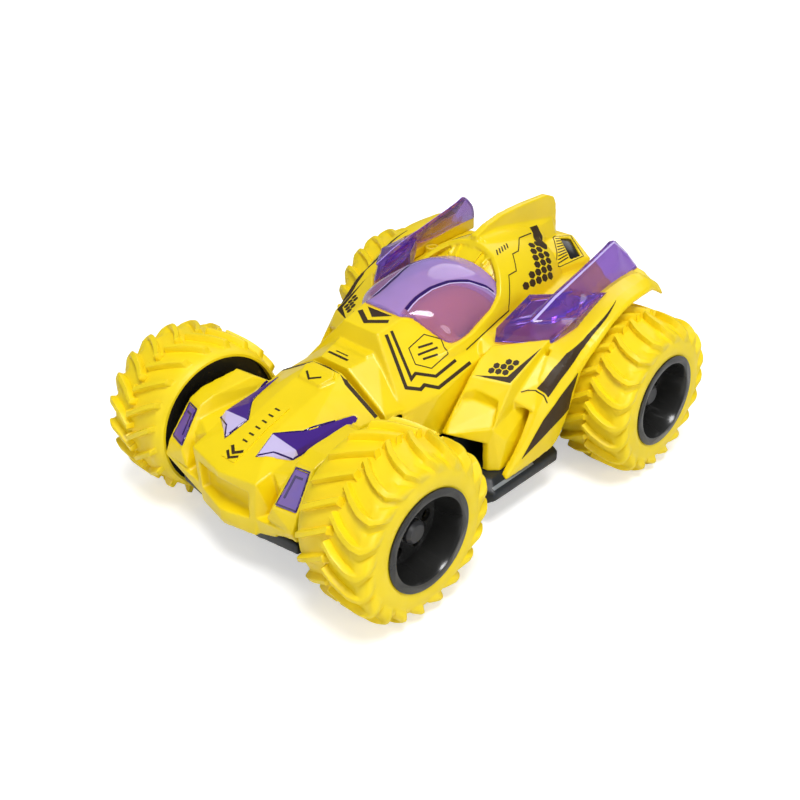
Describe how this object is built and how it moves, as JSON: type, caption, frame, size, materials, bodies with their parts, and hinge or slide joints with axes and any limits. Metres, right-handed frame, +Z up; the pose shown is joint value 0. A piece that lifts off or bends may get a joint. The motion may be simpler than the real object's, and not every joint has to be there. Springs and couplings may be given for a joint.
{
  "type": "radio controlled stunt car",
  "caption": "Low four-wheeled radio controlled stunt car with oversized soft lugged tyres, faceted shell, translucent canopy, side fins and lamps, and a geared rear drive.",
  "frame": {"origin": "on the ground plane, midway between the front and rear axles on the car's centre plane", "axes": "+X forward to the nose, +Y to the car's left, +Z up; the car stands on its tyres at Z = 0"},
  "size_m": [0.1851, 0.1528, 0.09],
  "materials": {
    "body_yellow": "moulded ABS, semi-gloss",
    "tyre_yellow": "soft vinyl, satin",
    "rim_black": "satin black plastic",
    "hub_grey": "satin dark grey plastic",
    "chassis_black": "satin blue-black plastic",
    "purple_clear": "translucent tinted polycarbonate, glossy",
    "vent_black": "gloss black inlay",
    "steel": "bright drawn steel",
    "screw_steel": "zinc plated steel",
    "bronze": "sintered bronze",
    "gear_white": "natural white acetal",
    "gearbox_grey": "satin dark grey plastic",
    "motor_steel": "plated steel can",
    "cell_wrap": "printed sleeve",
    "contact_metal": "nickel plated",
    "board_green": "solder mask",
    "component_black": "moulded epoxy",
    "switch_black": "satin black plastic"
  },
  "bodies": {
    "body": {"axle_bushes": "bronze", "battery_cells": "cell_wrap", "battery_door": "chassis_black", "battery_door_screw": "screw_steel", "board_components": "component_black", "body_screws": "screw_steel", "cab_shell": "body_yellow", "canopy": "purple_clear", "chassis_tray": "chassis_black", "contact_plates": "contact_metal", "contact_springs": "contact_metal", "front_axle": "steel", "front_axle_screws": "screw_steel", "gearbox_case_left": "gearbox_grey", "gearbox_case_right": "gearbox_grey", "gearbox_cover_left": "gearbox_grey", "gearbox_cover_right": "gearbox_grey", "headlamp_lens_left": "purple_clear", "headlamp_lens_right": "purple_clear", "idler_pins": "steel", "motor_left": "motor_steel", "motor_right": "motor_steel", "nose_cowl": "body_yellow", "receiver_board": "board_green", "side_fin_left": "purple_clear", "side_fin_right": "purple_clear", "side_lamp_left": "purple_clear", "side_lamp_right": "purple_clear", "side_panel_left": "body_yellow", "side_panel_right": "body_yellow", "switch_body": "switch_black", "vent_windows": "vent_black"},
    "switch": {"switch_knob": "switch_black"},
    "front_wheel_left": {"tyre_front_left": "tyre_yellow", "rim_front_left": "rim_black", "hub_cap_front_left": "hub_grey"},
    "rear_wheel_left": {"tyre_rear_left": "tyre_yellow", "rim_rear_left": "rim_black", "hub_cap_rear_left": "hub_grey", "rear_axle_left": "steel", "drive_gear_left": "gear_white"},
    "idler_left": {"compound_gear_left": "gear_white"},
    "motor_rotor_left": {"motor_shaft_left": "steel", "motor_pinion_left": "bronze"},
    "front_wheel_right": {"tyre_front_right": "tyre_yellow", "rim_front_right": "rim_black", "hub_cap_front_right": "hub_grey"},
    "rear_wheel_right": {"tyre_rear_right": "tyre_yellow", "rim_rear_right": "rim_black", "hub_cap_rear_right": "hub_grey", "rear_axle_right": "steel", "drive_gear_right": "gear_white"},
    "idler_right": {"compound_gear_right": "gear_white"},
    "motor_rotor_right": {"motor_shaft_right": "steel", "motor_pinion_right": "bronze"}
  },
  "joints": [
    {"name": "power_switch_slide", "type": "slide", "parent": "body", "child": "switch", "axis": [1, 0, 0], "range_m": [0, 0.004]},
    {"name": "front_wheel_left_spin", "type": "hinge", "parent": "body", "child": "front_wheel_left", "pos_m": [0.06135, 0, 0.0312], "axis": [0, 1, 0], "continuous": true},
    {"name": "rear_wheel_left_spin", "type": "hinge", "parent": "body", "child": "rear_wheel_left", "pos_m": [-0.06135, 0, 0.0312], "axis": [0, 1, 0], "continuous": true},
    {"name": "idler_left_spin", "type": "hinge", "parent": "body", "child": "idler_left", "pos_m": [-0.04995, 0, 0.02969], "axis": [0, 1, 0], "continuous": true},
    {"name": "motor_rotor_left_spin", "type": "hinge", "parent": "body", "child": "motor_rotor_left", "pos_m": [-0.03865, 0, 0.02755], "axis": [0, 1, 0], "continuous": true},
    {"name": "front_wheel_right_spin", "type": "hinge", "parent": "body", "child": "front_wheel_right", "pos_m": [0.06135, 0, 0.0312], "axis": [0, 1, 0], "continuous": true},
    {"name": "rear_wheel_right_spin", "type": "hinge", "parent": "body", "child": "rear_wheel_right", "pos_m": [-0.06135, 0, 0.0312], "axis": [0, 1, 0], "continuous": true},
    {"name": "idler_right_spin", "type": "hinge", "parent": "body", "child": "idler_right", "pos_m": [-0.04995, 0, 0.02969], "axis": [0, 1, 0], "continuous": true},
    {"name": "motor_rotor_right_spin", "type": "hinge", "parent": "body", "child": "motor_rotor_right", "pos_m": [-0.03865, 0, 0.02755], "axis": [0, 1, 0], "continuous": true}
  ],
  "couplings": [
    {"joint": "idler_left_spin", "follows": "rear_wheel_left_spin", "ratio": -3.6},
    {"joint": "motor_rotor_left_spin", "follows": "rear_wheel_left_spin", "ratio": 12.96},
    {"joint": "idler_right_spin", "follows": "rear_wheel_right_spin", "ratio": -3.6},
    {"joint": "motor_rotor_right_spin", "follows": "rear_wheel_right_spin", "ratio": 12.96}
  ]
}
